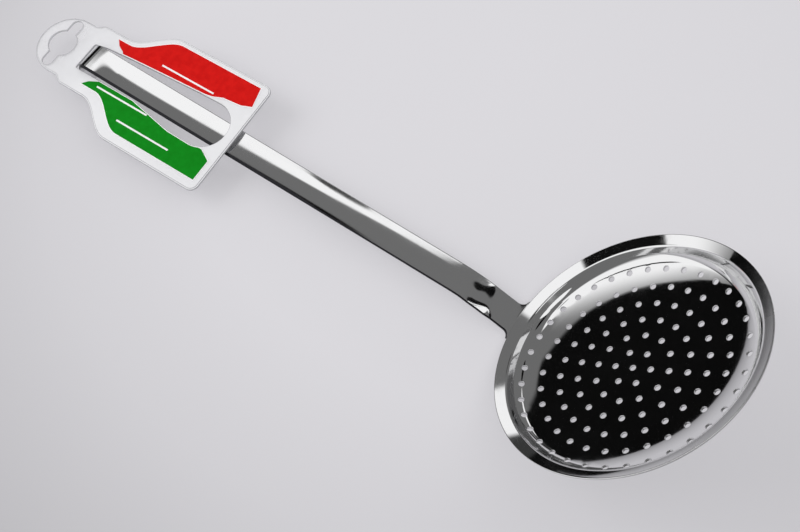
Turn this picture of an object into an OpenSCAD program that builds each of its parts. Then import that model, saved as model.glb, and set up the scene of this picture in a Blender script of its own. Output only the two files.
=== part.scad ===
// Kitchen skimmer: a shallow pierced bowl on a long strip handle that ends in a hook, with the
// plastic hang tag still threaded on the handle. It lies on a table on its rim and its hook.
// +X runs from the hook towards the bowl, +Z is up, and the origin is under the middle.

/* [Bowl] */
// Outer diameter of the rim
bowl_d = 120; // [105:1:140]
// Height of the rim's edge above the middle of the bowl
bowl_depth = 13.7; // [11.5:0.1:17]
// Thickness of the bowl's sheet
bowl_t = 1.0; // [0.8:0.1:1.2]
// Width of the sloping rim
rim_w = 4.6; // [3.5:0.1:6]
// Slope of the rim in degrees
rim_slope = 22; // [12:1:30]
// Width taken by the steep wall between the dish and the rim
wall_run = 4.0; // [3.5:0.1:5]
// Height of the dish's edge above its middle
dish_rise = 5.6; // [4:0.1:7]

/* [Holes] */
// Diameter of one hole
hole_d = 2.8; // [2:0.1:3.2]
// Distance from one ring of holes to the next
hole_pitch = 8.22; // [7.4:0.01:9.5]
// Angle from the handle to the nearest straight row of holes in degrees
hole_turn = 9.6; // [0:0.1:30]
// How far the pattern lies off the middle, towards the handle
hole_back = 0.8; // [0:0.1:1]
// How far the pattern lies off the middle, towards the near side
hole_aside = 1.5; // [0:0.1:1.6]

/* [Handle] */
// Length of the straight grip, from the hook's bend to the bend at the neck
grip_len = 229.5; // [200:0.5:265]
// Width at the hook
grip_w_hook = 15.4; // [14:0.1:17]
// Width at the neck
grip_w_neck = 14.7; // [12:0.1:16]
// Thickness of the handle's sheet
grip_t = 1.5; // [1.2:0.1:2]
// Radius of the shallow trough pressed into the top
trough_r = 36; // [30:1:60]
// Length of flat strip between the hook and the full trough
trough_gap = 11; // [9:0.5:20]
// Angle between the handle and the plane of the rim in degrees
handle_rise = 40.4; // [37:0.1:44]

/* [Neck] */
// Length from the rim to the bend
neck_len = 25; // [20:0.1:32]
// Slope of the neck against the plane of the rim in degrees
neck_slope = 60; // [54:0.5:64]
// Radius of the bend between neck and grip
neck_bend_r = 30; // [20:1:40]
// Radius of the two corners where the neck meets the rim
root_r = 3.5; // [2:0.1:4.5]

/* [Hook] */
// Inner radius of the hook, for a round rail
hook_r = 5; // [4:0.1:6.5]
// Angle that the hook turns through in degrees
hook_turn = 115; // [112:1:125]
// Straight length of the hook's lip
lip_len = 7; // [5:0.1:10]
// Radius of the lip's corners
lip_corner_r = 3; // [1:0.1:5]

/* [Tag] */
// Length of the tag
tag_len = 129.5; // [124:0.5:136]
// Width of the tag's body
tag_w = 66.6; // [62:0.1:76]
// Thickness of the tag's plastic
tag_t = 1.2; // [0.8:0.1:1.5]
// Radius of the round head
head_r = 17; // [16.6:0.1:18.6]
// Length of the head, from the tip to the opening
head_len = 30.2; // [28:0.1:34]
// Width between the head and the body
collar_w = 39.4; // [38:0.1:44]
// Roll of the loose tag on the handle, far side up, in degrees
tag_roll = 3.5; // [0:0.5:5]
// Radius of the body's outer corners
tag_corner_r = 4.5; // [2:0.1:8]
// Depth of the tag's face below the top of the handle at the hook
tag_drop = 4; // [3:0.1:4.5]
// Width of the bridge that lies across the handle
bridge_w = 5.7; // [4:0.1:8]
// Gap between the bridge and the handle
bridge_gap = 0.3; // [0.2:0.05:0.6]
// Gap between the tag and the hook's back
hook_gap = 0.9; // [0.3:0.1:1.2]
// Gap on each side of the hook in the narrow part of the opening
side_gap = 0.3; // [0.2:0.1:0.8]
// Width of the round end of the opening
window_w = 26; // [22:0.5:28]

/* [Peg slot] */
// Length of the slot in the head
slot_len = 30; // [28:0.5:31]
// Width of the slot's two arms
slot_w = 6.2; // [5:0.1:8]
// Diameter of the slot's round middle
slot_d = 15.4; // [12:0.1:16.5]
// Distance from the tip of the head to the middle of the slot
slot_in = 13.6; // [12.5:0.1:15]

/* [Print] */
// Thickness of one layer of print
ink_t = 0.12; // [0.1:0.01:0.2]
// Width of the white edge round each coloured panel
edge_w = 0.4; // [0.3:0.05:0.8]
// Clear margin between the opening and the white edge
print_gap = 0.3; // [0.2:0.1:1]
// Margin outside the red panel
red_margin = 3; // [2:0.1:5]
// Margin outside the green panel
green_margin = 5.6; // [4:0.1:8]
// Width of the plain white lines in the panels
rule_w = 1.0; // [0.6:0.1:1.5]

/* [Hidden] */
$fn = 96;

bowl_r = bowl_d / 2;
rim_in_r = bowl_r - rim_w;
rim_in_z = bowl_depth - rim_w * tan(rim_slope);
dish_r = rim_in_r - wall_run;
// Share of the dish's rise that grows with the square of the radius; the rest is fourth power
dish_round = 0.18;
dish_edge_slope = atan(dish_rise / dish_r * (2 * dish_round + 4 * (1 - dish_round)));
hole_off = [-hole_back, -hole_aside];
ring_count = floor((dish_r - hole_d / 2 - norm(hole_off) + 1.5) / hole_pitch);
dish_step = 4.6;
// How far the wall leaves the dish and the rim before it turns
wall_ease_low = 2.2;
wall_ease_top = 2.0;
wall_steps = 8;

// The neck's bend is the handle's own origin: the grip runs to -X and the neck down to +X
neck_drop = neck_slope - handle_rise;
neck_bend_len = neck_bend_r * tan(neck_drop / 2);
rim_from_bend = [neck_len * cos(neck_drop), -neck_len * sin(neck_drop)];
bowl_x = rim_from_bend[0] + bowl_r * cos(handle_rise) + bowl_depth * sin(handle_rise);
bowl_z = rim_from_bend[1] + bowl_r * sin(handle_rise) - bowl_depth * cos(handle_rise);
trough_depth = trough_r - sqrt(pow(trough_r, 2) - pow(grip_w_hook / 2, 2));
// The trough's floor runs out where the neck's bend falls away from it
trough_end = sqrt(2 * neck_bend_r * trough_depth) - neck_bend_len;
// The root starts a little flatter than the neck, on its way from the rim's slope, and a little narrower
root_rise = neck_slope - 4;
root_inset = 0.1;
// How far one length of sheet runs into the next, and the trough's underside into the strip
seam = 0.001;
seam_deep = 0.3;

hook_out_r = hook_r + grip_t;
hook_x = -grip_len;
hook_z = -hook_out_r;
hook_end = 90 + hook_turn;
lip_dir = [-sin(hook_end), cos(hook_end)];
lip_tip = [hook_x + hook_out_r * cos(hook_end) + lip_len * lip_dir[0],
           hook_z + hook_out_r * sin(hook_end) + lip_len * lip_dir[1]];

// It rests on the lip and on a heel: the lowest point of the neck's root or of the bowl's near side
heel_z = bowl_depth - bowl_t / cos(rim_slope);
neck_heel = [neck_len * cos(neck_drop) - grip_t * sin(neck_drop),
             -neck_len * sin(neck_drop) - grip_t * cos(neck_drop)];
function pitch_to(p) = atan2(p[1] - lip_tip[1], p[0] - lip_tip[0]);
function rest_angle() = min(concat([pitch_to(neck_heel)],
    [for (p = face_out) pitch_to(turn([-p[0], p[1]], -handle_rise) + [bowl_x, bowl_z])]));

// The tag's own frame starts at the hook end of its opening, on its upper face
tag_x = hook_x - hook_out_r - hook_gap;
body_len = tag_len - head_len;
window_len = body_len - bridge_w;
bridge_lift = tag_drop + tag_t + bridge_gap + grip_w_hook / 2 * tan(tag_roll);
tag_pitch = asin(bridge_lift / window_len);
side_y = grip_w_hook / 2 + side_gap;
collar_end = 14.7;
shoulder_len = 25.5;
// The opening's near side is straight as far as open_straight, and opens to the round end over open_taper
open_straight = 40;
open_taper = 14;
open_ease = 0.35;
// Its far side stands off the hook at the mouth, and a little more at the swell
mouth_at = [8, 1.4];
swell_at = [24, 2.5];
// Where a coloured panel starts, and its blunt tip, as steps from there and from its outer edge
panel_start = 9.4;
panel_tip = [[2.8, 3], [7, 5]];
panel_foot = [12, 6];
// Plain lines in the panels: start, end and distance from the middle
red_lines = [[40, 74, 15.8]];
green_lines = [[18, 52, 11.4], [40, 74, 21.4]];
// Inner edge of a panel past the round end, as distances from the tag's end and middle
red_end = [[25, 14.2], [19.5, 16.4], [9, 17.4], [3.4, 19.5]];
green_end = [[19, 12.6], [11, 12.4], [7.5, 14.2], [4.2, 16]];
// Outer corner of a panel, as a distance from the tag's end
red_back = 6;
green_back = 4.2;

function turn(p, a) = [p[0] * cos(a) + p[1] * sin(a), -p[0] * sin(a) + p[1] * cos(a)];
function lerp(a, b, t) = a + (b - a) * t;
function smooth(t) = let (k = min(max(t, 0), 1)) k * k * (3 - 2 * k);
function bezier(a, b, c, d, n) = [for (i = [0 : n]) let (t = i / n)
    a * pow(1 - t, 3) + b * 3 * t * pow(1 - t, 2) + c * 3 * pow(t, 2) * (1 - t) + d * pow(t, 3)];
function arc(c, r, from, to, n) = [for (i = [0 : n]) let (a = lerp(from, to, i / n))
    c + r * [cos(a), sin(a)]];

// Inner face of the dish at a radius
function dish_z(r) = dish_rise * (dish_round * pow(r / dish_r, 2) + (1 - dish_round) * pow(r / dish_r, 4));
function dish_point(r) = [r, dish_z(r)];
wall_points = bezier([dish_r, dish_rise],
    [dish_r, dish_rise] + wall_ease_low * [cos(dish_edge_slope), sin(dish_edge_slope)],
    [rim_in_r, rim_in_z] - wall_ease_top * [cos(rim_slope), sin(rim_slope)],
    [rim_in_r, rim_in_z], wall_steps);
face_in = concat([[0, 0]], [for (r = [dish_step : dish_step : dish_r - 1]) dish_point(r)],
    wall_points, [[bowl_r, bowl_depth]]);
// Outer face: each point is moved out by the sheet's thickness, square to the face there
function face_dir(i) = let (a = face_in[max(i - 1, 0)], b = face_in[min(i + 1, len(face_in) - 1)], d = b - a)
    d / norm(d);
face_out = [for (i = [0 : len(face_in) - 1])
    i == 0 ? [0, -bowl_t]
    : i == len(face_in) - 1 ? [bowl_r, heel_z]
    : face_in[i] + bowl_t * [face_dir(i)[1], -face_dir(i)[0]]];

rest_pitch = rest_angle();
tag_tip = turn([-head_len, 0], -tag_pitch) + [tag_x, -tag_drop];
rim_far = turn([bowl_r, bowl_depth], -handle_rise) + [bowl_x, bowl_z];
rim_far_low = turn([bowl_r, heel_z], -handle_rise) + [bowl_x, bowl_z];
x_low = turn(tag_tip, rest_pitch)[0];
x_high = max(turn(rim_far, rest_pitch)[0], turn(rim_far_low, rest_pitch)[0]);
rest_z = turn(lip_tip, rest_pitch)[1];

// From the handle's frame to the table
module lay() {
    translate([-(x_low + x_high) / 2, 0, -rest_z]) rotate([0, rest_pitch, 0]) children();
}

// From the bowl's own frame, with its axis upright, to the handle's frame
module at_bowl() {
    translate([bowl_x, 0, bowl_z]) rotate([0, -handle_rise, 0]) children();
}

// From the tag's flat outline to its place on the handle
module at_tag() {
    translate([tag_x, 0, -tag_drop]) rotate([0, -tag_pitch, 0]) rotate([tag_roll, 0, 0]) children();
}

module strainer_bowl() {
    color([0.78, 0.78, 0.79]) lay() at_bowl() difference() {
        rotate_extrude($fn = 180)
            polygon(concat(face_in, [for (i = [len(face_out) - 1 : -1 : 0]) face_out[i]]));
        hole(hole_off);
        for (n = [1 : ring_count], k = [0 : 6 * n - 1]) let (a = 180 + hole_turn + 60 * k / n)
            hole(hole_off + n * hole_pitch * [cos(a), sin(a)]);
    }
}

// One hole at a place seen from above, square to the sheet there
module hole(at) {
    r = norm(at);
    slope = atan((dish_z(r + 1) - dish_z(r - 1)) / 2);
    rotate([0, 0, atan2(at[1], at[0])]) translate([r, 0, dish_z(r)])
        rotate([0, -slope, 0]) translate([0, 0, -bowl_t - 1]) cylinder(d = hole_d, h = bowl_t + 2, $fn = 24);
}

// Part of a round bend of sheet about the Y axis, turning from one angle to another
module bend(r_out, from, to) {
    rotate([90, 0, 0]) rotate([0, 0, from]) rotate_extrude(angle = to - from, $fn = 120)
        translate([r_out - grip_t, -grip_w_hook]) square([grip_t, 2 * grip_w_hook]);
}

// A flat length of sheet with its upper face at z = 0
module flat(from, to) {
    translate([from, -grip_w_hook, -grip_t]) cube([to - from, 2 * grip_w_hook, grip_t]);
}

module strip() {
    flat(hook_x, -neck_bend_len);
    translate([-neck_bend_len, 0, -neck_bend_r]) bend(neck_bend_r, 90 - neck_drop, 90);
    at_neck() flat(neck_bend_len - seam, neck_len);
    translate([hook_x, 0, hook_z]) {
        bend(hook_out_r, 90, hook_end);
        rotate([0, 90 - hook_end, 0]) translate([-lip_len, 0, hook_out_r]) flat(0, lip_len + seam);
    }
}

// The strip seen from above, a little wider at the hook
module strip_top() {
    polygon([[hook_x - 2 * hook_out_r, -grip_w_hook / 2], [hook_x - 2 * hook_out_r, grip_w_hook / 2],
        [0, grip_w_neck / 2], [2 * neck_len, grip_w_neck / 2], [2 * neck_len, -grip_w_neck / 2],
        [0, -grip_w_neck / 2]]);
}

// A long round bar over the handle, with a ball end at the hook, that shapes the trough
module trough_bar(r, end) {
    start = hook_x + trough_gap;
    translate([start, 0, trough_r - trough_depth]) rotate([0, 90, 0]) rotate_extrude($fn = 180) {
        intersection() {
            circle(r);
            translate([0, -r]) square([r, r]);
        }
        square([r, end - start]);
    }
}

// Frame of the neck: X runs down the neck to the rim, and Z is square to its upper face
module at_neck() {
    rotate([0, neck_drop, 0]) children();
}

// The neck's end seen square to its face, widened onto the rim by a round corner on each side
module root_top() {
    half = grip_w_neck / 2;
    side = concat([[neck_len - root_r - 3, half - root_inset]],
        arc([neck_len - root_r, half + root_r], root_r, -90, 0, 5), [[neck_len + 4, half + root_r]]);
    polygon(concat(side, [for (i = [len(side) - 1 : -1 : 0]) [side[i][0], -side[i][1]]]));
}

// The root is part of a cone round the bowl's axis that stands on the rim's edge, face to face
module neck_root() {
    up = [cos(root_rise), sin(root_rise)];
    down = grip_t * [sin(root_rise), -cos(root_rise)];
    foot = [bowl_r, bowl_depth];
    top = foot + (root_r + 1.5) * up;
    intersection() {
        at_bowl() rotate([0, 0, 165]) rotate_extrude(angle = 30, $fn = 180)
            polygon([foot, top, top + down, foot + down, [bowl_r, heel_z]]);
        at_neck() translate([0, 0, -2 * grip_t - 3]) linear_extrude(2 * grip_t + 8) root_top();
    }
}

// Cuts the two lower corners of the lip round
module lip_corners() {
    translate([hook_x, 0, hook_z]) rotate([0, 90 - hook_end, 0]) translate([-lip_len, 0, 0])
        for (side = [-1, 1]) scale([1, side, 1])
            translate([0, grip_w_hook / 2 - lip_corner_r, hook_r - 1]) difference() {
                translate([-1, 0, 0]) cube([lip_corner_r + 1, lip_corner_r + 1, grip_t + 2]);
                translate([lip_corner_r, 0, -1]) cylinder(r = lip_corner_r, h = grip_t + 4, $fn = 48);
            }
}

module handle() {
    color([0.74, 0.74, 0.75]) lay() {
        difference() {
            union() {
                intersection() {
                    strip();
                    translate([0, 0, -3 * hook_out_r]) linear_extrude(4 * hook_out_r) strip_top();
                }
                intersection() {
                    trough_bar(trough_r + grip_t, trough_end - 0.6);
                    translate([0, 0, -grip_t - 2 * trough_depth])
                        linear_extrude(2 * trough_depth + seam_deep) strip_top();
                }
            }
            trough_bar(trough_r, trough_end + 1);
            lip_corners();
        }
        neck_root();
    }
}

// Half width of the tag's body at a distance from the opening's end
function body_half(x) = collar_w / 2 + (tag_w - collar_w) / 2
    * smooth((x - collar_end) / shoulder_len);

// Outline of the tag's body on one side, from the head to the far corner, or of a print inset from it
function body_side(side, inset, start, end) = [for (k = [0 : body_steps])
    let (x = lerp(start, end, k / body_steps)) [x, side * (body_half(x - 0.8 * inset) - inset)]];
body_steps = 48;

module window_shape(grow) {
    mid = window_len - window_w / 2;
    side = side_y + grow;
    wide = window_w / 2 + grow;
    translate([mid, 0]) circle(wide);
    polygon([[-grow, -side], [open_straight, -side], [mid - open_taper, open_ease - wide], [mid, -wide],
        [mid, wide], [mid - open_taper, wide - open_ease], [swell_at[0], side + swell_at[1]],
        [mouth_at[0], side + mouth_at[1]], [-grow, side]]);
}

module slot_shape() {
    arm = slot_len / 2 - slot_w / 2;
    translate([slot_in - head_len, 0]) {
        circle(d = slot_d);
        square([slot_w, 2 * arm], center = true);
        for (side = [-1, 1]) translate([0, side * arm]) circle(d = slot_w);
    }
}

module tag_outline() {
    edge = body_len;
    r = tag_corner_r;
    step = collar_w / 2 - head_r;
    translate([head_r - head_len, 0]) circle(head_r);
    translate([head_r - head_len, -head_r]) square([head_len, 2 * head_r]);
    polygon(concat([[-3 - step, -head_r], [-3, -collar_w / 2]], body_side(-1, 0, 1, edge - r - 1),
        arc([edge - r, r - tag_w / 2], r, -90, 0, 8), arc([edge - r, tag_w / 2 - r], r, 0, 90, 8),
        [for (k = [body_steps : -1 : 0]) body_side(1, 0, 1, edge - r - 1)[k]],
        [[-3, collar_w / 2], [-3 - step, head_r]]));
}

module hang_tag() {
    color([0.92, 0.93, 0.95]) lay() at_tag() translate([0, 0, -tag_t]) linear_extrude(tag_t) difference() {
        tag_outline();
        window_shape(0);
        slot_shape();
    }
}

// Shape of a coloured panel, larger by the grow; the opening's edge sets its inner side
module panel_shape(side, margin, grow) {
    start = panel_start - grow;
    inset = margin - grow;
    tip = body_half(start) - inset;
    low = side > 0 ? red_end : green_end;
    back = side > 0 ? red_back : green_back;
    difference() {
        polygon(concat([[start, side * tip]], [for (p = panel_tip) [start + p[0], side * (tip - p[1])]],
            [[start + panel_foot[0], side * panel_foot[1]]],
            [for (p = low) [body_len - p[0] + (p == low[3] ? grow : 0), side * (p[1] - grow)]],
            [[body_len - back + grow, side * (tag_w / 2 - inset)]],
            [for (k = [body_steps : -1 : 0]) body_side(side, inset, start, body_len - back - 1)[k]]));
        window_shape(print_gap + edge_w - grow);
    }
}

module rules(side) {
    for (line = side > 0 ? red_lines : green_lines)
        translate([line[0], side * line[2] - rule_w / 2]) square([line[1] - line[0], rule_w]);
}

module panel(side, margin, grow, level) {
    translate([0, 0, level * ink_t]) linear_extrude(ink_t) panel_shape(side, margin, grow);
}

module white_print() {
    color([0.96, 0.96, 0.96]) lay() at_tag() {
        panel(1, red_margin, edge_w, 0);
        panel(-1, green_margin, edge_w, 0);
    }
}

module red_print() {
    color([0.82, 0.05, 0.04]) lay() at_tag() difference() {
        panel(1, red_margin, 0, 1);
        translate([0, 0, ink_t / 2]) linear_extrude(2 * ink_t) rules(1);
    }
}

module green_print() {
    color([0.05, 0.52, 0.1]) lay() at_tag() difference() {
        panel(-1, green_margin, 0, 1);
        translate([0, 0, ink_t / 2]) linear_extrude(2 * ink_t) rules(-1);
    }
}

strainer_bowl();
handle();
hang_tag();
white_print();
red_print();
green_print();
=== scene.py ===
from math import asin, atan, atan2, cos, degrees, hypot, pi, radians, sin, sqrt, tan

import bpy
from mathutils import Matrix, Vector
from mathutils.geometry import delaunay_2d_cdt


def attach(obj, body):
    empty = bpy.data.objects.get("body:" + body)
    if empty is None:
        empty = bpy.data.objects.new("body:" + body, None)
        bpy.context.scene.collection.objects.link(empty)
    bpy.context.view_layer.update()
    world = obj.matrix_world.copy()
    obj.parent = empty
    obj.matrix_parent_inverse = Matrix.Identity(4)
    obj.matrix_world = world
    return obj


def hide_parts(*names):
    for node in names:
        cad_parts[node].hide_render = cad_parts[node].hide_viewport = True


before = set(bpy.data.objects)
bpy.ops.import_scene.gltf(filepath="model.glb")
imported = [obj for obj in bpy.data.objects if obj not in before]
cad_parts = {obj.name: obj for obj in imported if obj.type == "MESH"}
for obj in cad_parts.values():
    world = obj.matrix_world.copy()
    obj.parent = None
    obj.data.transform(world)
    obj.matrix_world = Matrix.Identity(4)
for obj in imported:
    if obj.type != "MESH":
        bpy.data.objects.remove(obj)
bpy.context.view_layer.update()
mm = 0.001


# The three frames of the part, in millimetres: pitch lifts the +X end, roll lifts the far side
def frameAt(place, pitch, roll=0.0):
    turn = Matrix.Rotation(radians(-pitch), 4, "Y") @ Matrix.Rotation(radians(roll), 4, "X")
    return Matrix.Translation(Vector(place)) @ turn


bowlFrame = frameAt((153.5587, 0, 29.2196), 39.2133)
handleFrame = frameAt((75.0368, 0, 10.774), -1.1867)
tagFrame = frameAt((-161.8952, 0, 11.6812), 2.4708, 3.5)

view = {"place": (0.1443, -0.1414, 0.3944), "turn": (23.485, 1.862, 33.793), "lens": 40.8}


def addCamera():
    data = bpy.data.cameras.new("photo_view")
    data.lens = view["lens"]
    data.sensor_width = 36
    data.clip_start = 0.01
    camera = bpy.data.objects.new("photo_view", data)
    camera.location = view["place"]
    camera.rotation_euler = [radians(a) for a in view["turn"]]
    bpy.context.collection.objects.link(camera)
    bpy.context.scene.camera = camera


addCamera()


# Each face gives its point numbers, one normal for each corner and, if it isn't 0, a material number
def addPiece(name, points, faces, place, *materials):
    turn = place.to_3x3()
    coords = [(place @ Vector(p)) * mm for p in points]
    polys, normals, finishes = [], [], []
    for ids, ns, *finish in faces:
        ns = [(turn @ Vector(n)).normalized() for n in ns]
        a, b, c = coords[ids[0]], coords[ids[1]], coords[ids[2]]
        flat = (b - a).cross(c - a)
        mean = sum(ns, Vector((0, 0, 0)))
        if flat.dot(mean) < 0:
            ids, ns = ids[::-1], ns[::-1]
        polys.append(ids)
        normals.extend(ns)
        finishes.append(finish[0] if finish else 0)
    mesh = bpy.data.meshes.new(name)
    mesh.from_pydata(coords, [], polys)
    mesh.polygons.foreach_set("use_smooth", [True] * len(mesh.polygons))
    mesh.normals_split_custom_set(normals)
    for material in materials:
        mesh.materials.append(material)
    mesh.polygons.foreach_set("material_index", finishes)
    piece = bpy.data.objects.new(name, mesh)
    bpy.context.collection.objects.link(piece)
    return piece


def lerp(a, b, t):
    return a + (b - a) * t


def smooth(t):
    t = min(max(t, 0.0), 1.0)
    return t * t * (3 - 2 * t)


def newMaterial(name):
    material = bpy.data.materials.new(name)
    material.use_nodes = True
    nodes = material.node_tree.nodes
    return material, nodes, material.node_tree.links, nodes["Principled BSDF"]


def calc(nodes, links, kind, *values):
    node = nodes.new("ShaderNodeMath")
    node.operation = kind
    for i, value in enumerate(values):
        if isinstance(value, (int, float)):
            node.inputs[i].default_value = value
        else:
            links.new(value, node.inputs[i])
    return node.outputs[0]


def mapRange(nodes, links, value, fromMin, fromMax, toMin=0.0, toMax=1.0, kind="LINEAR"):
    node = nodes.new("ShaderNodeMapRange")
    node.interpolation_type = kind
    links.new(value, node.inputs["Value"])
    for name, v in (("From Min", fromMin), ("From Max", fromMax), ("To Min", toMin), ("To Max", toMax)):
        if isinstance(v, (int, float)):
            node.inputs[name].default_value = v
        else:
            links.new(v, node.inputs[name])
    return node.outputs[0]


def socket(tree, name, way, kind, value=None):
    made = tree.interface.new_socket(name=name, in_out=way, socket_type=kind)
    if value is not None:
        made.default_value = value
    return made


# Faint wipe marks and hair lines, for polished metal and for plastic
def handlingMarks():
    tree = bpy.data.node_groups.new("handlingMarks", "ShaderNodeTree")
    socket(tree, "Smudge Size", "INPUT", "NodeSocketFloat", 40.0)
    socket(tree, "Line Size", "INPUT", "NodeSocketFloat", 900.0)
    socket(tree, "Stretch", "INPUT", "NodeSocketVector", (1, 1, 1))
    socket(tree, "Low", "INPUT", "NodeSocketFloat", 0.04)
    socket(tree, "High", "INPUT", "NodeSocketFloat", 0.1)
    socket(tree, "Roughness", "OUTPUT", "NodeSocketFloat")
    socket(tree, "Height", "OUTPUT", "NodeSocketFloat")
    n, l = tree.nodes, tree.links
    gin, gout = n.new("NodeGroupInput"), n.new("NodeGroupOutput")
    coord = n.new("ShaderNodeTexCoord")
    smudge = n.new("ShaderNodeTexNoise")
    smudge.inputs["Detail"].default_value = 4
    l.new(coord.outputs["Object"], smudge.inputs["Vector"])
    l.new(gin.outputs["Smudge Size"], smudge.inputs["Scale"])
    pull = n.new("ShaderNodeVectorMath")
    pull.operation = "MULTIPLY"
    l.new(coord.outputs["Object"], pull.inputs[0])
    l.new(gin.outputs["Stretch"], pull.inputs[1])
    lines = n.new("ShaderNodeTexNoise")
    lines.inputs["Detail"].default_value = 3
    l.new(pull.outputs[0], lines.inputs["Vector"])
    l.new(gin.outputs["Line Size"], lines.inputs["Scale"])
    mix = n.new("ShaderNodeMath")
    mix.operation = "MULTIPLY_ADD"
    mix.inputs[1].default_value = 0.35
    l.new(lines.outputs["Fac"], mix.inputs[0])
    share = n.new("ShaderNodeMath")
    share.operation = "MULTIPLY"
    share.inputs[1].default_value = 0.65
    l.new(smudge.outputs["Fac"], share.inputs[0])
    l.new(share.outputs[0], mix.inputs[2])
    span = n.new("ShaderNodeMapRange")
    span.inputs["From Min"].default_value = 0.35
    span.inputs["From Max"].default_value = 0.68
    l.new(mix.outputs[0], span.inputs["Value"])
    l.new(gin.outputs["Low"], span.inputs["To Min"])
    l.new(gin.outputs["High"], span.inputs["To Max"])
    l.new(span.outputs[0], gout.inputs["Roughness"])
    l.new(lines.outputs["Fac"], gout.inputs["Height"])
    return tree


marks = handlingMarks()


def placeMarks(nodes, links, shader, values):
    group = nodes.new("ShaderNodeGroup")
    group.node_tree = marks
    for name, value in values["marks"].items():
        group.inputs[name].default_value = value
    bump = nodes.new("ShaderNodeBump")
    bump.inputs["Strength"].default_value = values["bump"]
    bump.inputs["Distance"].default_value = values["depth"]
    links.new(group.outputs["Height"], bump.inputs["Height"])
    links.new(bump.outputs["Normal"], shader.inputs["Normal"])
    links.new(group.outputs["Roughness"], shader.inputs["Roughness"])
    return group


bowlSteel = {
    "colour": (0.72, 0.72, 0.725, 1),
    "bump": 0.05, "depth": 0.00002,
    "marks": {"Smudge Size": 45.0, "Line Size": 500.0, "Stretch": (1, 1, 1), "Low": 0.03, "High": 0.085},
}
rimSteel = dict(bowlSteel, rubFrom=0.166, rubTo=0.186, rubbed=0.24)
# Lower part of each hole wall: rough sheared steel, its near-black colour painted shade
shearedShadedSteel = {
    "colour": (0.12, 0.12, 0.125, 1),
    "bump": 0.3, "depth": 0.00005,
    "marks": {"Smudge Size": 300.0, "Line Size": 2500.0, "Stretch": (1, 1, 1), "Low": 0.35, "High": 0.6},
}
# The handle's cut edges: near-black, a painted reflection of the dark room
cutEdgePaintedDark = {
    "colour": (0.025, 0.025, 0.028, 1),
    "bump": 0.2, "depth": 0.00004,
    "marks": {"Smudge Size": 200.0, "Line Size": 1800.0, "Stretch": (0.1, 1, 1), "Low": 0.25, "High": 0.45},
}
gripSteel = {
    "colour": (0.74, 0.74, 0.745, 1),
    "bump": 0.05, "depth": 0.00002,
    "marks": {"Smudge Size": 45.0, "Line Size": 700.0, "Stretch": (0.06, 1, 1), "Low": 0.04, "High": 0.12},
}


def steel(name, values):
    material, nodes, links, shader = newMaterial(name)
    shader.inputs["Base Color"].default_value = values["colour"]
    shader.inputs["Metallic"].default_value = 1.0
    group = placeMarks(nodes, links, shader, values)
    if "rubbed" in values:  # the rim's far end is rubbed dull
        coord = nodes.new("ShaderNodeTexCoord")
        parts = nodes.new("ShaderNodeSeparateXYZ")
        links.new(coord.outputs["Object"], parts.inputs[0])
        rub = mapRange(nodes, links, parts.outputs["X"], values["rubFrom"], values["rubTo"], 0.0, values["rubbed"])
        links.new(calc(nodes, links, "ADD", group.outputs["Roughness"], rub), shader.inputs["Roughness"])
    return material


tagPlastic = {
    "colour": (0.83, 0.83, 0.85, 1), "ior": 1.49,
    "clear": 0.3, "milky": 0.8, "clearEnd": -0.172, "milkyEnd": -0.15, "mottle": 0.12,
    "bump": 0.05, "depth": 0.0001,
    "marks": {"Smudge Size": 14.0, "Line Size": 38.0, "Stretch": (1, 1, 1), "Low": 0.1, "High": 0.22},
}
# The tag's edges and rim step: darker grey, painted as the shade lines along the edge
tagEdgeShadedPlastic = {
    "colour": (0.42, 0.42, 0.44, 1), "ior": 1.49,
    "clear": 0.62, "milky": 0.8, "clearEnd": -0.172, "milkyEnd": -0.15, "mottle": 0.1,
    "bump": 0.05, "depth": 0.0001,
    "marks": {"Smudge Size": 40.0, "Line Size": 90.0, "Stretch": (1, 1, 1), "Low": 0.06, "High": 0.16},
}


# Clearer towards the head of the tag, with a faint cloudiness
def milkyPlastic(name, values):
    material, nodes, links, shader = newMaterial(name)
    shader.inputs["Base Color"].default_value = values["colour"]
    shader.inputs["IOR"].default_value = values["ior"]
    group = placeMarks(nodes, links, shader, values)
    coord = nodes.new("ShaderNodeTexCoord")
    parts = nodes.new("ShaderNodeSeparateXYZ")
    links.new(coord.outputs["Object"], parts.inputs[0])
    milk = mapRange(nodes, links, parts.outputs["X"], values["clearEnd"], values["milkyEnd"],
                    values["clear"], values["milky"])
    cloud = mapRange(nodes, links, group.outputs["Height"], 0.3, 0.7, -values["mottle"] / 2, values["mottle"] / 2)
    links.new(calc(nodes, links, "ADD", milk, cloud), shader.inputs["Alpha"])
    return material


inks = {
    "white_print": {"deep": (0.84, 0.84, 0.85, 1), "pale": (0.9, 0.9, 0.91, 1)},
    "red_print": {"deep": (0.54, 0.005, 0.004, 1), "pale": (0.62, 0.008, 0.006, 1)},
    "green_print": {"deep": (0.002, 0.19, 0.006, 1), "pale": (0.003, 0.22, 0.009, 1)},
}
inkFinish = {
    "bump": 0.04, "depth": 0.00005, "gloss": 0.06,
    "marks": {"Smudge Size": 60.0, "Line Size": 300.0, "Stretch": (1, 1, 1), "Low": 0.3, "High": 0.45},
}


def ink(name, values):
    material, nodes, links, shader = newMaterial(name)
    shader.inputs["Specular IOR Level"].default_value = inkFinish["gloss"]
    group = placeMarks(nodes, links, shader, inkFinish)
    mottle = nodes.new("ShaderNodeValToRGB")
    mottle.color_ramp.elements[0].position = 0.35
    mottle.color_ramp.elements[0].color = values["deep"]
    mottle.color_ramp.elements[1].position = 0.65
    mottle.color_ramp.elements[1].color = values["pale"]
    links.new(group.outputs["Height"], mottle.inputs["Fac"])
    links.new(mottle.outputs["Color"], shader.inputs["Base Color"])
    return material


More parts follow.
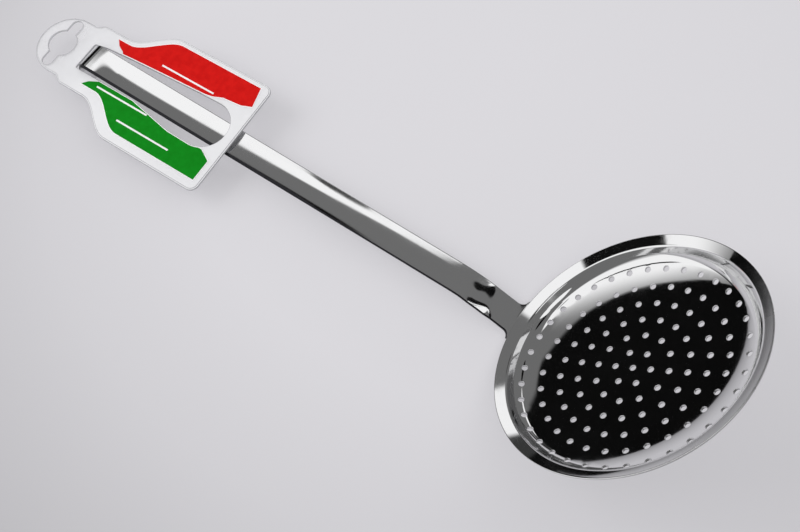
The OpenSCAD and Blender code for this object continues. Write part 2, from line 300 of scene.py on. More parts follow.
bowl = {
    "rimR": 60.0, "rimZ": 13.7, "sheet": 1.0, "edgeRound": 0.3,
    "rimSlope": [(0, 16.5), (50, 17), (85, 25), (250, 25), (290, 16.5), (360, 16.5)], "rimBow": 0.035,
    "dishR": 50.0, "second": 0.023, "fourth": 0.142,
    "footR": 6.5, "wallSlope": 66.0, "shoulderR": 1.6,
    "holeR": 1.36, "holePitch": 8.22, "holeRings": 6, "holeTurn": 9.6, "holeOff": (-0.8, -1.5),
    "holeSides": 20, "holeEase": 0.1, "holeBreak": 0.34, "netR": 52.9, "netStep": 2.6, "around": 180,
}


# Height and slope of the bowl's upper face as far as the net of holes reaches
def dishAt(r):
    R = bowl["rimR"]
    q = min(r, bowl["dishR"]) / R
    z = R * (bowl["second"] * q ** 2 + bowl["fourth"] * q ** 4)
    slope = atan(2 * bowl["second"] * q + 4 * bowl["fourth"] * q ** 3)
    if r > bowl["dishR"]:
        low = slope
        slope = asin(min(1.0, sin(low) + (r - bowl["dishR"]) / bowl["footR"]))
        z += bowl["footR"] * (cos(low) - cos(slope))
    return z, slope


def dishPoint(x, y):
    r = hypot(x, y)
    z, slope = dishAt(r)
    if r < 1e-6:
        return Vector((x, y, z)), Vector((0, 0, 1))
    return Vector((x, y, z)), Vector((-sin(slope) * x / r, -sin(slope) * y / r, cos(slope)))


def stopsAt(stops, x):
    for (x0, y0), (x1, y1) in zip(stops, stops[1:]):
        if x <= x1:
            return lerp(y0, y1, smooth((x - x0) / (x1 - x0)))
    return stops[-1][1]


# The section from the net's edge up the wall, round the rim and back underneath: (r, z, normal r, normal z)
def bowlSection(rimSlope, bow):
    t, out = bowl["sheet"], []
    z, slope = dishAt(bowl["netR"])
    r = bowl["netR"]
    R, Z, shoulder = bowl["rimR"], bowl["rimZ"], bowl["shoulderR"]
    top = [(r, z, slope)]
    steep, easy = radians(bowl["wallSlope"]), radians(rimSlope)
    centre = (r - bowl["footR"] * sin(slope), z + bowl["footR"] * cos(slope))
    for k in range(1, 5):
        a = lerp(slope, steep, k / 4)
        top.append((centre[0] + bowl["footR"] * sin(a), centre[1] - bowl["footR"] * cos(a), a))
    r, z, _ = top[-1]
    # the wall rises until the rim's slope meets the edge
    reach = R - r - shoulder * (sin(steep) - sin(easy))
    rise = (Z - z - shoulder * (cos(easy) - cos(steep)) - reach * tan(easy)) / (1 - tan(easy) / tan(steep))
    r, z = r + rise / tan(steep), z + rise
    top.append((r, z, steep))
    centre = (r + shoulder * sin(steep), z - shoulder * cos(steep))
    for k in range(1, 9):
        a = lerp(steep, easy, k / 8)
        top.append((centre[0] - shoulder * sin(a), centre[1] + shoulder * cos(a), a))
    e = bowl["edgeRound"]
    r, z, _ = top[-1]
    length = (R - e - r) / cos(easy)
    for k in range(1, 6):
        u = k / 6
        top.append((r + u * length * cos(easy), z + u * length * sin(easy) - 4 * bow * u * (1 - u),
                    easy - 4 * bow * (1 - 2 * u) / length))
    cTop = (R - e, Z - e * tan(easy) - e / cos(easy))
    zLow = Z - t / cos(easy)
    cLow = (R - e, zLow - e * tan(easy) + e / cos(easy))
    for p in top:
        out.append((p[0], p[1], -sin(p[2]), cos(p[2])))
    for k in range(6):
        a = lerp(pi / 2 + easy, 0, k / 5)
        out.append((cTop[0] + e * cos(a), cTop[1] + e * sin(a), cos(a), sin(a)))
    for k in range(6):
        a = lerp(0, easy - pi / 2, k / 5)
        out.append((cLow[0] + e * cos(a), cLow[1] + e * sin(a), cos(a), sin(a)))
    for p in reversed(top):
        out.append((p[0] + t * sin(p[2]), p[1] - t * cos(p[2]), sin(p[2]), -cos(p[2])))
    return out


def bowlHoles():
    ox, oy = bowl["holeOff"]
    centres = [(ox, oy)]
    for n in range(1, bowl["holeRings"] + 1):
        for k in range(6 * n):
            a = radians(180 + bowl["holeTurn"] + 60 * k / n)
            centres.append((ox + n * bowl["holePitch"] * cos(a), oy + n * bowl["holePitch"] * sin(a)))
    return centres


def makeBowl():
    t, sides, ease = bowl["sheet"], bowl["holeSides"], bowl["holeEase"]
    around, netR = bowl["around"], bowl["netR"]
    flat = [(netR * cos(2 * pi * k / around), netR * sin(2 * pi * k / around)) for k in range(around)]
    fixed = [(k, (k + 1) % around) for k in range(around)]
    holes = []
    for cx, cy in bowlHoles():
        centre, axis = dishPoint(cx, cy)
        r = hypot(cx, cy)
        out = Vector((cx / r, cy / r, 0)) if r > 1e-6 else Vector((1, 0, 0))
        side = axis.cross(out).normalized()
        down = side.cross(axis).normalized()
        start = len(flat)
        ring = []
        for k in range(sides):
            a = 2 * pi * k / sides
            way = down * cos(a) + side * sin(a)
            ring.append(way)
            p = centre + way * (bowl["holeR"] + ease)
            flat.append((p.x, p.y))
            fixed.append((start + k, start + (k + 1) % sides))
        holes.append((centre, axis, ring, start))
    keep = bowl["holeR"] + ease + 0.55
    spots = [(h[0].x, h[0].y) for h in holes]
    step = bowl["netStep"]
    loose = []
    rows = int(netR / step) + 2
    for i in range(-rows, rows + 1):
        for j in range(-rows, rows + 1):
            x, y = step * (i + 0.5 * (j % 2)), step * 0.866 * j
            if hypot(x, y) < 49.3:
                loose.append((x, y))
    for r in (50.2, 51.1, 52.0):
        loose += [(r * cos(2 * pi * (k + 0.5) / around), r * sin(2 * pi * (k + 0.5) / around)) for k in range(around)]
    for x, y in loose:
        if all((x - a) ** 2 + (y - b) ** 2 > keep ** 2 for a, b in spots):
            flat.append((x, y))
    made = delaunay_2d_cdt([Vector(p) for p in flat], fixed, [], 0, 1e-5)
    places, tris, origin = made[0], made[2], made[3]
    points, faces = [], []
    tops = {}
    normals = []
    for i, p in enumerate(places):
        top, n = dishPoint(p.x, p.y)
        points.append(top)
        normals.append(n)
        for o in origin[i]:
            tops[o] = i
    count = len(points)
    for i in range(count):
        points.append(points[i] - normals[i] * t)
    ringOf = {tops[start + k]: start for centre, axis, ring, start in holes for k in range(sides)}
    for tri in tris:
        owners = set(ringOf.get(i) for i in tri)
        if len(owners) == 1 and None not in owners:  # inside a hole
            continue
        faces.append((list(tri), [normals[i] for i in tri]))
        faces.append(([count + i for i in tri], [-normals[i] for i in tri]))
    for centre, axis, ring, start in holes:
        upper, middle, lower = [], [], []
        for way in ring:
            p = centre + way * bowl["holeR"]
            p = dishPoint(p.x, p.y)[0]
            for ids, depth in ((upper, ease), (middle, t - bowl["holeBreak"]), (lower, t - ease)):
                ids.append(len(points))
                points.append(p - axis * depth)
        for k in range(sides):
            m = (k + 1) % sides
            a, b = tops[start + k], tops[start + m]
            wa, wb = -ring[k], -ring[m]
            faces.append(([a, b, upper[m], upper[k]], [normals[a], normals[b], wb, wa]))
            faces.append(([upper[k], upper[m], middle[m], middle[k]], [wa, wb, wb, wa]))
            # below the break the hole wall takes the sheared steel, painted dark as shade
            faces.append(([middle[k], middle[m], lower[m], lower[k]], [wa, wb, wb, wa], 1))
            faces.append(([lower[k], lower[m], count + b, count + a], [wa, wb, -normals[b], -normals[a]], 1))
    sections, rims = [], []
    for k in range(around):
        a = 2 * pi * k / around
        slope = stopsAt(bowl["rimSlope"], degrees(a))
        bow = bowl["rimBow"] if slope < 20 else 0.0
        section = bowlSection(slope, bow)
        ids = [tops[k]]
        for r, z, nr, nz in section[1:-1]:
            ids.append(len(points))
            points.append(Vector((r * cos(a), r * sin(a), z)))
        rims.append(ids + [count + tops[k]])
        sections.append([Vector((nr * cos(a), nr * sin(a), nz)) for r, z, nr, nz in section])
    rimFaces = range(13, 32)  # from the shoulder over the edge
    for k in range(around):
        m = (k + 1) % around
        for s in range(len(rims[k]) - 1):
            faces.append(([rims[k][s], rims[m][s], rims[m][s + 1], rims[k][s + 1]],
                          [sections[k][s], sections[m][s], sections[m][s + 1], sections[k][s + 1]],
                          2 if s in rimFaces else 0))
    return addPiece("pierced_bowl", points, faces, bowlFrame, steel("bowl_steel", bowlSteel),
                    steel("sheared_steel_painted_shade", shearedShadedSteel), steel("rim_steel", rimSteel))


bowlPiece = makeBowl()
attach(bowlPiece, "skimmer")
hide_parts("strainer_bowl")
print("bowl:", len(bowlPiece.data.polygons), "faces")

grip = {
    "neckLen": 25.0, "neckDrop": 19.6, "bendR": 60.0, "gripLen": 229.5, "hookR": 6.5, "hookTurn": 115.0,
    "lipLen": 7.0, "sheet": 1.5, "edgeRound": 0.4, "halfHook": 7.7, "halfNeck": 7.35, "taperFrom": -242.5,
    "troughR": 36.0, "troughOut": (-227.0, -213.0), "troughIn": (2.0, 13.0), "scoop": 0.3, "scoopAt": (-12.0, -3.0),
    "rootRise": 56.0, "rootLen": 8.0, "rootFar": 3.5, "rootNear": 2.8, "lipCorner": 3.0,
    "rollR": (3.6, 1.4), "rollAt": (-98.0, -80.0), "rollFrom": 22.0, "rollTo": 45.0, "rollEdge": 0.3,
    "droop": 1.1, "droopWide": 4.8, "droopAt": (-4.0, 2.0, 10.0, 14.0),
}


# Lengths of the strip from the rim to the lip: (length, turn in degrees)
def gripPath():
    tangent = grip["bendR"] * tan(radians(grip["neckDrop"] / 2))
    return [(grip["neckLen"] - tangent, 0), (grip["bendR"] * radians(grip["neckDrop"]), grip["neckDrop"]),
            (grip["gripLen"] - tangent, 0), (grip["hookR"] * radians(grip["hookTurn"]), grip["hookTurn"]),
            (grip["lipLen"], 0)]


gripParts = gripPath()
gripTotal = sum(p[0] for p in gripParts)


# Middle of the upper face at a length from the rim, and the direction of its normal
def gripAt(s):
    drop = radians(grip["neckDrop"])
    x, z, a = grip["neckLen"] * cos(drop), -grip["neckLen"] * sin(drop), pi / 2 - drop
    for i, (length, turn) in enumerate(gripParts):
        last = i == len(gripParts) - 1
        step = s if (s < length or last) else length
        if turn == 0:
            x, z = x - step * sin(a), z + step * cos(a)
        else:
            radius = length / radians(turn)
            b = a + step / radius
            x, z = x + radius * (cos(b) - cos(a)), z + radius * (sin(b) - sin(a))
            a = b
        s -= step
        if s <= 0 and step < length:
            break
    return x, z, a


# Closed section of the sheet: (y, height, normal y, normal height), from the near edge over the top and back
def gripSection(half, near, depth, fall, roll):
    R, t, e, n = grip["troughR"], grip["sheet"], grip["edgeRound"], 26
    tiny = grip["rollEdge"]
    first, steep = radians(grip["rollFrom"]), radians(grip["rollTo"])
    out = []

    def top(y):
        w = half if y > 0 else near
        u = max(0.0, (-y - near) / grip["droopWide"] + 1)
        rise = sqrt(R * R - y * y) - sqrt(R * R - w * w)
        slope = depth * y / sqrt(R * R - y * y) + 2 * fall * u / grip["droopWide"]
        return -depth * rise - fall * u * u, atan(slope)

    def arc(cy, ch, r, a0, a1, count, start=0):
        for k in range(start, count):
            a = lerp(a0, a1, k / (count - 1))
            out.append((cy + r * cos(a), ch + r * sin(a), cos(a), sin(a)))

    lean, leanNear = top(half)[1], -top(-near)[1]
    yTop = half - e - e * sin(lean)
    yLow, yLowNear = half - e - (t - e) * sin(lean), near - e - (t - e) * sin(leanNear)
    yRoll = near - roll * (sin(steep) - sin(first)) - tiny * (1 - sin(steep))
    for k in range(n + 1):
        y = lerp(-yRoll, yTop, k / n)
        h, b = top(y)
        out.append((y, h, -sin(b), cos(b)))
    arc(half - e, top(yTop)[0] - e * cos(lean), e, pi / 2 + lean, 0, 5, 1)
    arc(half - e, top(yLow)[0] - (t - e) * cos(lean), e, 0, lean - pi / 2, 5, 1)
    for k in range(1, n + 1):
        y = lerp(yLow, -yLowNear, k / n)
        h, b = top(y)
        out.append((y + t * sin(b), h - t * cos(b), sin(b), -cos(b)))
    arc(e - near, top(-yLowNear)[0] - (t - e) * cos(leanNear), e, 3 * pi / 2 - leanNear, pi, 5, 1)
    # the near edge is rolled over, from a crease
    cy, ch = roll * sin(first) - yRoll, top(-yRoll)[0] - roll * cos(first)
    arc(tiny - near, ch + (roll - tiny) * cos(steep), tiny, pi, pi / 2 + steep, 4)
    arc(cy, ch, roll, pi / 2 + steep, pi / 2 + first, 7, 1)
    return out


# Points and section directions of the strip at a length from the rim, in the part's frame
def gripRow(s):
    root = max(s, 0.0)
    x, z, a = gripAt(root)
    half = lerp(grip["halfHook"], grip["halfNeck"], min(1.0, (x - grip["taperFrom"]) / -grip["taperFrom"]))
    near = half
    if root < grip["rootFar"]:
        half += grip["rootFar"] - sqrt(grip["rootFar"] ** 2 - (grip["rootFar"] - root) ** 2)
    if root < grip["rootNear"]:
        near += grip["rootNear"] - sqrt(grip["rootNear"] ** 2 - (grip["rootNear"] - root) ** 2)
    left, r = gripTotal - s, grip["lipCorner"]
    if left < r:
        less = r - sqrt(max(0.0, r * r - (r - max(left, 0.0)) ** 2))
        half, near = half - less, near - less
    out0, out1 = grip["troughOut"]
    in0, in1 = grip["troughIn"]
    depth = smooth((x - out0) / (out1 - out0)) * (1 - smooth((x - in0) / (in1 - in0)))
    scoop0, scoop1 = grip["scoopAt"]
    depth *= 1 + grip["scoop"] * smooth((x - scoop0) / (scoop1 - scoop0))
    if s > sum(p[0] for p in gripParts[:3]):
        depth = 0.0
    roll0, roll1 = grip["rollAt"]
    roll = lerp(*grip["rollR"], smooth((x - roll0) / (roll1 - roll0)))
    x0, x1, x2, x3 = grip["droopAt"]
    fall = grip["droop"] * smooth((x - x0) / (x1 - x0)) * (1 - smooth((x - x2) / (x3 - x2)))
    rows = []
    blend = smooth(s / grip["rootLen"])
    rise, rimSlope = radians(grip["rootRise"]), radians(stopsAt(bowl["rimSlope"], 180))
    for y, h, ny, nh in gripSection(half, near, depth, fall, roll):
        p = handleFrame @ (Vector((x, y, z)) + Vector((cos(a), 0, sin(a))) * h)
        if blend < 1:
            r = bowl["rimR"] + root * cos(rise) + min(s, 0)
            zz = bowl["rimZ"] + root * sin(rise) + min(s, 0) * tan(rimSlope)
            w = asin(y / r)
            lift = Vector((sin(rise) * cos(w), -sin(rise) * sin(w), cos(rise)))
            q = bowlFrame @ (Vector((-r * cos(w), r * sin(w), zz)) + lift * h)
            p = q.lerp(p, blend)
        rows.append((p, ny, nh))
    return rows


def makeHandle():
    stops = [-0.35, 0.0]
    stops += [0.4 * k for k in range(1, 12)] + [5.2, 6, 7, 8, 9.5, 11, 13, 15, 17, 19]
    s1 = gripParts[0][0]
    s2 = s1 + gripParts[1][0]
    s3 = s2 + gripParts[2][0]
    s4 = s3 + gripParts[3][0]
    stops += [s1 + (s2 - s1) * k / 10 for k in range(11)]
    stops += [s2 + 1 + 1.5 * k for k in range(8)]
    stops += [s2 + 14 + 6 * k for k in range(32)]
    stops += [s3 - 19 + 1.0 * k for k in range(19)]
    stops += [s3 + (s4 - s3) * k / 28 for k in range(29)]
    stops += [s4 + 1.3 * k for k in range(1, 4)] + [gripTotal - 2.6 * (1 - sin(pi / 2 * k / 6)) for k in range(0, 7)]
    stops = sorted(set(round(s, 4) for s in stops))
    points, rows = [], []
    for s in stops:
        row, before, after = gripRow(s), gripRow(s - 0.02), gripRow(s + 0.02)
        a = gripAt(max(s, 0.0))[2]
        ids = [len(points) + j for j in range(len(row) - 1)]
        ids.append(ids[0])  # the last point lies on the first, at the crease
        normals = []
        for j, (p, ny, nh) in enumerate(row):
            # square to the sheet's run, and near the root to its neighbours
            along = (after[j][0] - before[j][0]).normalized()
            plain = handleFrame.to_3x3() @ Vector((cos(a) * nh, ny, sin(a) * nh))
            normal = plain - along * plain.dot(along)
            if s < grip["rootLen"]:
                across = (row[(j + 1) % len(row)][0] - row[j - 1][0]).cross(along)
                normal = across if across.dot(plain) > 0 else -across
            normals.append(normal.normalized())
        points += [p for p, ny, nh in row[:-1]]
        rows.append((ids, normals))
    faces = []
    edges = set(range(28, 33)) | set(range(62, 74))  # places of the two cut edges in the section, painted near-black as a dark reflection
    for (a, na), (b, nb) in zip(rows, rows[1:]):
        for j in range(len(a) - 1):
            faces.append(([a[j], a[j + 1], b[j + 1], b[j]], [na[j], na[j + 1], nb[j + 1], nb[j]], int(j in edges)))
    for ids, other in ((rows[0][0], rows[1][0]), (rows[-1][0], rows[-2][0])):
        centre = sum((points[i] for i in ids), Vector()) / len(ids)
        way = centre - sum((points[i] for i in other), Vector()) / len(other)
        for j in range(len(ids) - 1):
            faces.append(([ids[j], ids[j + 1], len(points)], [way] * 3))
        points.append(centre)
    return addPiece("strip_handle", points, faces, Matrix.Identity(4),
                    steel("handle_steel", gripSteel), steel("handle_edge_painted_dark", cutEdgePaintedDark))


handlePiece = makeHandle()
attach(handlePiece, "skimmer")
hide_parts("handle")
print("handle:", len(handlePiece.data.polygons), "faces")

tag = {
    "len": 129.5, "headR": 17.0, "headLen": 30.2, "collarHalf": 19.7, "half": 33.3, "cornerR": 4.5,
    "collarEnd": 14.7, "shoulder": 25.5, "sheet": 1.2, "bridge": 5.7, "openHalf": 8.0, "openR": 13.0,
    "slotR": 7.7, "slotHalf": 15.0, "slotArm": 3.1, "slotIn": 13.6,
    "outerEase": 0.25, "openEase": 0.26, "slotEase": 0.3, "rimWide": 0.95, "rimDrop": 0.22, "rimStep": 0.26,
}


# Closed loop from (x, y, radius) corners, each rounded by an arc
def roundLoop(corners, step=7.0):
    out, n = [], len(corners)
    for i in range(n):
        p = Vector(corners[i][:2])
        a, b = Vector(corners[i - 1][:2]) - p, Vector(corners[(i + 1) % n][:2]) - p
        r = corners[i][2]
        if r <= 0:
            out.append(p)
            continue
        la, lb = a.length, b.length
        a, b = a.normalized(), b.normalized()
        angle = a.angle(b)
        cut = min(r / tan(angle / 2), 0.49 * la, 0.49 * lb)
        r = cut * tan(angle / 2)
        centre = p + (a + b).normalized() * (r / sin(angle / 2))
        s, e = p + a * cut - centre, p + b * cut - centre
        turn = s.angle_signed(e)
        count = max(2, int(abs(degrees(turn)) / step) + 1)
        base = atan2(s.y, s.x)
        for k in range(count + 1):
            w = base - turn * k / count
            out.append(centre + Vector((cos(w), sin(w))) * r)
    return out


def tagOuter():
    body = tag["len"] - tag["headLen"]
    corners = []
    for side in (-1, 1):
        run = [(-6.2, 17.0, 3.0), (-2.6, tag["collarHalf"], 3.0)]
        for k in range(0, 13):
            x = tag["collarEnd"] + tag["shoulder"] * k / 12
            y = lerp(tag["collarHalf"], tag["half"], smooth((x - tag["collarEnd"]) / tag["shoulder"]))
            run.append((x, y, 0))
        run.append((body, tag["half"], tag["cornerR"]))
        run = [(x, side * y, r) for x, y, r in run]
        corners += run if side < 0 else run[::-1]
    head = []
    for k in range(37):
        a = pi / 2 + pi * k / 36
        head.append((tag["headR"] - tag["headLen"] + tag["headR"] * cos(a), tag["headR"] * sin(a), 0))
    return roundLoop(corners + head)


def tagOpening():
    body = tag["len"] - tag["headLen"]
    mid = body - tag["bridge"] - tag["openR"]
    h, w = tag["openHalf"], tag["openR"]
    corners = [(0, -h, 0.8), (40, -h, 60), (mid - 14, -w + 0.35, 40)]
    corners += [(mid + w * sin(pi * k / 30), -w * cos(pi * k / 30), 0) for k in range(31)]
    corners += [(mid - 14, w - 0.35, 40), (24, h + 2.5, 30), (8, h + 1.4, 20), (0, h, 0.8)]
    return roundLoop(corners)


def tagSlot():
    r, arm, half = tag["slotR"], tag["slotArm"], tag["slotHalf"]
    x0 = tag["slotIn"] - tag["headLen"]
    a0 = asin(arm / r)
    loop = []
    for side in (1, -1):
        for k in range(17):
            a = lerp(-(pi / 2 - a0), pi / 2 - a0, k / 16)
            loop.append((x0 + side * r * cos(a), side * r * sin(a), 0))
        for k in range(13):
            a = pi * k / 12
            loop.append((x0 + side * arm * cos(a), side * (half - arm + arm * sin(a)), 0))
    return [Vector(p[:2]) for p in loop]


def loopArea(loop):
    return sum(a.x * b.y - b.x * a.y for a, b in zip(loop, loop[1:] + loop[:1])) / 2


# Direction into the plastic at each point of a loop
def loopOut(loop):
    n, out = len(loop), []
    for i in range(n):
        run = (loop[i] - loop[i - 1]).normalized() + (loop[(i + 1) % n] - loop[i]).normalized()
        out.append(Vector((-run.y, run.x)).normalized())
    return out


def inside(loop, x, y):
    hit = False
    for a, b in zip(loop, loop[1:] + loop[:1]):
        if (a.y > y) != (b.y > y) and x < (b.x - a.x) * (y - a.y) / (b.y - a.y) + a.x:
            hit = not hit
    return hit


def cleanLoop(loop):
    out = []
    for p in loop:
        if not out or (p - out[-1]).length > 0.05:
            out.append(p)
    if (out[0] - out[-1]).length < 0.05:
        out.pop()
    return out


# The edge's section from the top face to the under face: (distance in, height, angle, does it take the darker grey
# painted as shade lines along the edge)
def edgeSteps(ease, rim):
    t, steps, low = tag["sheet"], [], 0.0
    if rim:
        low, wide, step = tag["rimDrop"], tag["rimWide"], tag["rimStep"]
        steps = [(wide, 0, 0, 1), (wide - 0.2 * step, -0.1 * low, 40, 1), (wide - 0.8 * step, -0.9 * low, 40, 1),
                 (wide - step, -low, 0, 0)]
    steps += [(ease * (1 - sin(a)), -low - ease * (1 - cos(a)), degrees(a), 1) for a in (pi / 10 * k for k in range(6))]
    steps += [(ease * (1 - sin(a)), -t + ease * (1 + cos(a)), degrees(a), 1) for a in (pi / 2 + pi / 10 * k for k in range(6))]
    return steps


def makeTag():
    edges = {"outer": (tagOuter(), tag["outerEase"], True), "opening": (tagOpening(), tag["openEase"], False),
             "slot": (tagSlot(), tag["slotEase"], False)}
    points, faces = [], []
    capIn, capEdges, capIds = [], [], []
    loops = {}
    for name, (loop, ease, solid) in edges.items():
        loop = cleanLoop(loop)
        if (loopArea(loop) > 0) != solid:
            loop = loop[::-1]
        way = loopOut(loop)
        rings = []
        for inset, z, angle, shadedLine in edgeSteps(ease, solid):
            a = radians(angle)
            rings.append((list(range(len(points), len(points) + len(loop))),
                          [Vector((-w.x * sin(a), -w.y * sin(a), cos(a))) for w in way], shadedLine))
            points += [Vector((p.x + w.x * inset, p.y + w.y * inset, z)) for p, w in zip(loop, way)]
        for (ra, na, shadedLine), (rb, nb, _) in zip(rings, rings[1:]):
            for j in range(len(loop)):
                k = (j + 1) % len(loop)
                faces.append(([ra[j], ra[k], rb[k], rb[j]], [na[j], na[k], nb[k], nb[j]], shadedLine))
        top, low = rings[0][0], rings[-1][0]
        base = len(capIn)
        loops[name] = [points[i].xy for i in top]
        capIn += loops[name]
        capIds += list(zip(top, low))
        capEdges += [(base + j, base + (j + 1) % len(loop)) for j in range(len(loop))]
    made = delaunay_2d_cdt(capIn, capEdges, [], 0, 1e-6)
    places, tris, origin = made[0], made[2], made[3]
    for tri in tris:
        cx, cy = sum(places[i].x for i in tri) / 3, sum(places[i].y for i in tri) / 3
        if not inside(loops["outer"], cx, cy) or inside(loops["opening"], cx, cy) or inside(loops["slot"], cx, cy):
            continue
        ids = [capIds[origin[i][0]] for i in tri]
        faces.append(([i[0] for i in ids], [Vector((0, 0, 1))] * 3))
        faces.append(([i[1] for i in ids], [Vector((0, 0, -1))] * 3))
    return addPiece("milky_tag", points, faces, tagFrame,
                    milkyPlastic("tag_plastic", tagPlastic), milkyPlastic("tag_edge_painted_shade", tagEdgeShadedPlastic))


tagPiece = makeTag()
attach(tagPiece, "tag")
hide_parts("hang_tag")
print("tag:", len(tagPiece.data.polygons), "faces")

for name, values in inks.items():
    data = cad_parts[name].data
    data.materials.clear()
    data.materials.append(ink(name + "_ink", values))
print("prints dressed")

studio = {
    "floor": (0.69, 0.68, 0.71), "floorSize": 6.0, "glow": 0.5,
    "paintedLightAt": (0.03, 0.13, 0), "paintedFalloff": [(0.0, 1.02), (0.19, 1.0), (0.26, 0.9), (0.34, 0.72)],
    "tableWay": (-0.559, 0.829, 0), "tableEnd": 0.25, "tableDim": 0.5,
    "keyPlace": (-0.9, -0.45, 1.0), "keySize": 0.9, "keyPower": 8.0,
    "fillPlace": (0.9, 0.9, 1.3), "fillSize": 1.4, "fillPower": 3.0,
    "fillWorld": 0.74,
}


# A curve through (place, value) stops, as a colour ramp between two map ranges
def stopCurve(nodes, links, value, stops):
    low, high = stops[0][0], stops[-1][0]
    bottom, top = min(v for p, v in stops), max(v for p, v in stops)
    ramp = nodes.new("ShaderNodeValToRGB")
    elements = ramp.color_ramp.elements
    while len(elements) < len(stops):
        elements.new(0.5)
    for e, (p, v) in zip(elements, stops):
        e.position = (p - low) / (high - low)
    for e, (p, v) in zip(elements, stops):
        g = (v - bottom) / (top - bottom)
        e.color = (g, g, g, 1)
    links.new(mapRange(nodes, links, value, low, high), ramp.inputs["Fac"])
    return mapRange(nodes, links, ramp.outputs["Color"], 0.0, 1.0, bottom, top)


# The floor is pale to the camera and in the steel, keeps a soft shadow, has painted light that fades away from one
# bright spot, and in the steel it ends like a table
def addFloor():
    half = studio["floorSize"] / 2
    mesh = bpy.data.meshes.new("table_top")
    mesh.from_pydata([(-half, -half, 0), (half, -half, 0), (half, half, 0), (-half, half, 0)], [], [(0, 1, 2, 3)])
    material, n, l, shader = newMaterial("table_finish")
    shader.inputs["Roughness"].default_value = 0.6
    shader.inputs["Specular IOR Level"].default_value = 0.2
    coord = n.new("ShaderNodeTexCoord")
    # painted light: the floor's colour fades with distance from one bright spot
    gap = n.new("ShaderNodeVectorMath")
    gap.operation = "DISTANCE"
    l.new(coord.outputs["Object"], gap.inputs[0])
    gap.inputs[1].default_value = studio["paintedLightAt"]
    shade = stopCurve(n, l, gap.outputs["Value"], studio["paintedFalloff"])
    tint = n.new("ShaderNodeVectorMath")
    tint.operation = "SCALE"
    tint.inputs[0].default_value = studio["floor"]
    l.new(shade, tint.inputs["Scale"])
    l.new(tint.outputs[0], shader.inputs["Base Color"])
    along = n.new("ShaderNodeVectorMath")
    along.operation = "DOT_PRODUCT"
    l.new(coord.outputs["Object"], along.inputs[0])
    along.inputs[1].default_value = studio["tableWay"]
    past = mapRange(n, l, along.outputs["Value"], studio["tableEnd"] - 0.02, studio["tableEnd"] + 0.02)
    dim = mapRange(n, l, along.outputs["Value"], studio["tableEnd"] - 0.2, studio["tableEnd"], 0.0, studio["tableDim"])
    past = calc(n, l, "MAXIMUM", past, dim)
    path = n.new("ShaderNodeLightPath")
    seen = calc(n, l, "ADD", path.outputs["Is Camera Ray"], path.outputs["Is Glossy Ray"])
    glow = n.new("ShaderNodeEmission")
    l.new(tint.outputs[0], glow.inputs["Color"])
    lit = n.new("ShaderNodeMixShader")
    l.new(calc(n, l, "MULTIPLY", seen, studio["glow"]), lit.inputs[0])
    l.new(shader.outputs[0], lit.inputs[1])
    l.new(glow.outputs[0], lit.inputs[2])
    dark = n.new("ShaderNodeEmission")
    dark.inputs["Strength"].default_value = room["black"]
    ends = n.new("ShaderNodeMixShader")
    l.new(calc(n, l, "MULTIPLY", past, path.outputs["Is Glossy Ray"]), ends.inputs[0])
    l.new(lit.outputs[0], ends.inputs[1])
    l.new(dark.outputs[0], ends.inputs[2])
    l.new(ends.outputs[0], n["Material Output"].inputs["Surface"])
    mesh.materials.append(material)
    floor = bpy.data.objects.new("table_top", mesh)
    floor.location.z = -0.0001
    bpy.context.collection.objects.link(floor)


def addLamp(name, place, size, power):
    data = bpy.data.lights.new(name, "AREA")
    data.size = size
    data.energy = power
    lamp = bpy.data.objects.new(name, data)
    lamp.location = place
    lamp.rotation_euler = (-Vector(place)).to_track_quat("-Z", "Y").to_euler()
    lamp.visible_glossy = False
    lamp.visible_camera = False
    bpy.context.collection.objects.link(lamp)


# The room that the steel mirrors, by direction in degrees: across is the turn from -X towards -Y, up the height
room = {
    "white": 1.2, "grey": 0.19, "black": 0.004, "darkSoft": 1.6, "whiteEnd": 75,
    "whiteSoft": [(0, 12), (40, 12), (47, 2.5), (90, 2.5)],
    "whiteEdge": [(0, 8), (12, 2), (25, -7), (38, -12), (48, -19), (53, -31), (60, -35), (67, -37), (73, -34),
                  (75, -34), (77, -38), (79, -28), (81, -5), (83, 40), (85, 90), (90, 180)],
    "darkTop": [(-180, 0), (-56, 0), (-51, 16), (-45, 20), (-35, 24), (-30, 31), (-20, 31), (-15, 30),
                (-10, 25), (-7, 21), (-2, 12), (0, 0), (180, 0)],
    "patches": [
        {"at": (14.5, 34), "size": (4.7, 17), "lean": 24, "square": 3, "tone": 0.006},
        {"at": (-52, 2), "size": (5.5, 14), "lean": 0, "square": 2, "tone": 0.05},
        {"at": (-51.5, 20), "size": (4, 12), "lean": 0, "square": 2, "tone": 1.2},
        {"at": (-58.5, 42.5), "size": (10, 5), "lean": -33, "square": 2, "tone": 0.004},
        {"at": (0, 72.3), "size": (14, 2.2), "lean": 0, "square": 2, "tone": 0.05},
        {"at": (-146, 70), "size": (20, 7.5), "lean": 0, "square": 2, "tone": 0.004},
        {"at": (160, 58), "size": (22, 13), "lean": 0, "square": 4, "tone": 1.2},
        {"at": (-173, 60), "size": (8, 13), "lean": 0, "square": 4, "tone": 1.2},
    ],
}


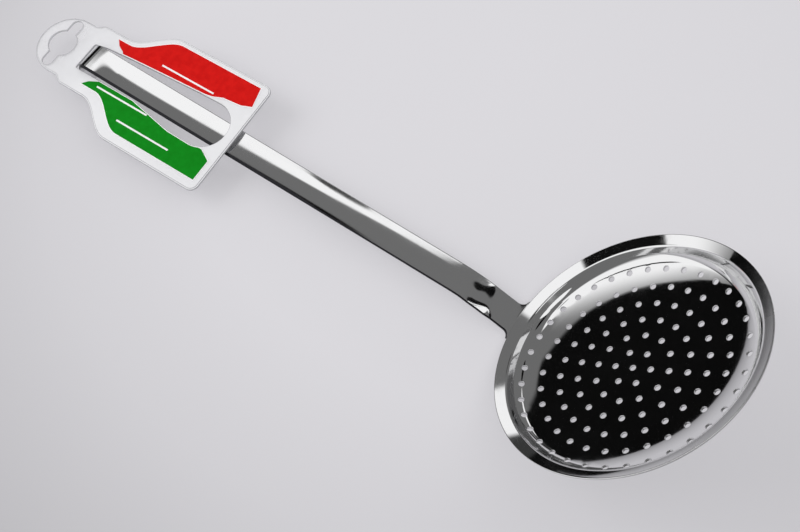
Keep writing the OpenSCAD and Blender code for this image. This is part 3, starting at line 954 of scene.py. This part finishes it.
def addRoom():
    world = bpy.data.worlds.new("room")
    bpy.context.scene.world = world
    world.use_nodes = True
    n, l = world.node_tree.nodes, world.node_tree.links
    n.clear()
    coord = n.new("ShaderNodeTexCoord")
    parts = n.new("ShaderNodeSeparateXYZ")
    l.new(coord.outputs["Generated"], parts.inputs[0])

    def do(kind, *values):
        return calc(n, l, kind, *values)

    def mixTone(tone, share, new):
        return do("MULTIPLY_ADD", share, do("SUBTRACT", new, tone), tone)

    up = do("MULTIPLY", do("ARCSINE", parts.outputs["Z"]), 180 / pi)
    back, left = do("MULTIPLY", parts.outputs["X"], -1), do("MULTIPLY", parts.outputs["Y"], -1)
    across = do("MULTIPLY", do("ARCTAN2", left, back), 180 / pi)
    soft = stopCurve(n, l, up, room["whiteSoft"])
    past = do("SUBTRACT", across, stopCurve(n, l, up, room["whiteEdge"]))
    isWhite = mapRange(n, l, past, do("MULTIPLY", soft, -1), soft, kind="SMOOTHSTEP")
    isWhite = do("MULTIPLY", isWhite, mapRange(n, l, across, room["whiteEnd"] + 8, room["whiteEnd"] - 8))
    tone = do("MULTIPLY_ADD", isWhite, room["white"] - room["grey"], room["grey"])
    below = do("SUBTRACT", stopCurve(n, l, across, room["darkTop"]), up)
    isDark = mapRange(n, l, below, -room["darkSoft"], room["darkSoft"], kind="SMOOTHSTEP")
    tone = mixTone(tone, isDark, room["black"])
    for patch in room["patches"]:
        lean, power = radians(patch["lean"]), patch["square"]
        du, dv = do("SUBTRACT", across, patch["at"][0]), do("SUBTRACT", up, patch["at"][1])
        u = do("MULTIPLY_ADD", du, cos(lean), do("MULTIPLY", dv, sin(lean)))
        v = do("MULTIPLY_ADD", dv, cos(lean), do("MULTIPLY", du, -sin(lean)))
        u = do("POWER", do("ABSOLUTE", do("DIVIDE", u, patch["size"][0])), power)
        v = do("POWER", do("ABSOLUTE", do("DIVIDE", v, patch["size"][1])), power)
        tone = mixTone(tone, mapRange(n, l, do("ADD", u, v), 1.15, 0.85), patch["tone"])
    path = n.new("ShaderNodeLightPath")
    tone = mixTone(studio["fillWorld"], path.outputs["Is Glossy Ray"], tone)
    sky = n.new("ShaderNodeBackground")
    l.new(tone, sky.inputs["Strength"])
    sky.inputs["Color"].default_value = (1, 1, 1, 1)
    out = n.new("ShaderNodeOutputWorld")
    l.new(sky.outputs[0], out.inputs["Surface"])


addFloor()
addLamp("key_light", studio["keyPlace"], studio["keySize"], studio["keyPower"])
addLamp("fill_light", studio["fillPlace"], studio["fillSize"], studio["fillPower"])
addRoom()
bpy.context.scene.view_settings.view_transform = "Standard"
print("studio ready")
